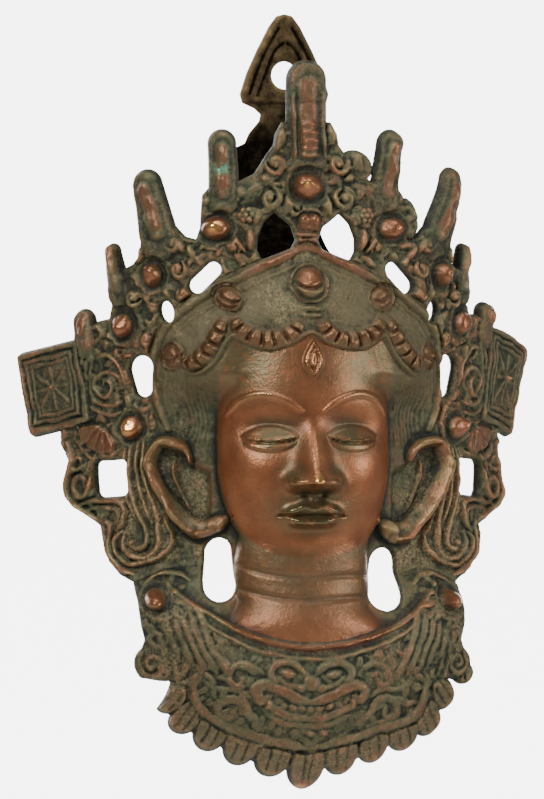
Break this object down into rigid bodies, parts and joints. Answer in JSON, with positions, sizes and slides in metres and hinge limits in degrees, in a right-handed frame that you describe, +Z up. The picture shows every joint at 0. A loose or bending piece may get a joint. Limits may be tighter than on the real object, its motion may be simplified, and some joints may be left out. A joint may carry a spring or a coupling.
{
  "type": "deity wall mask",
  "caption": "Hollow-backed cast metal wall mask of a crowned deity's head with pierced crown, beads, square side plaques, long ears, bib collar and an arrowhead hanging lug.",
  "frame": {"origin": "centre of the hanging hole at the back of the lug, in the plane of the wall", "axes": "+Z up, -Y out of the wall towards the viewer, +X to the viewer's right"},
  "size_m": [0.1555, 0.0687, 0.23],
  "materials": {
    "browned_copper": "browned copper alloy with green-black patina in the hollows and worn coppery ridges"
  },
  "bodies": {
    "root": {"mask": "browned_copper"}
  },
  "joints": []
}
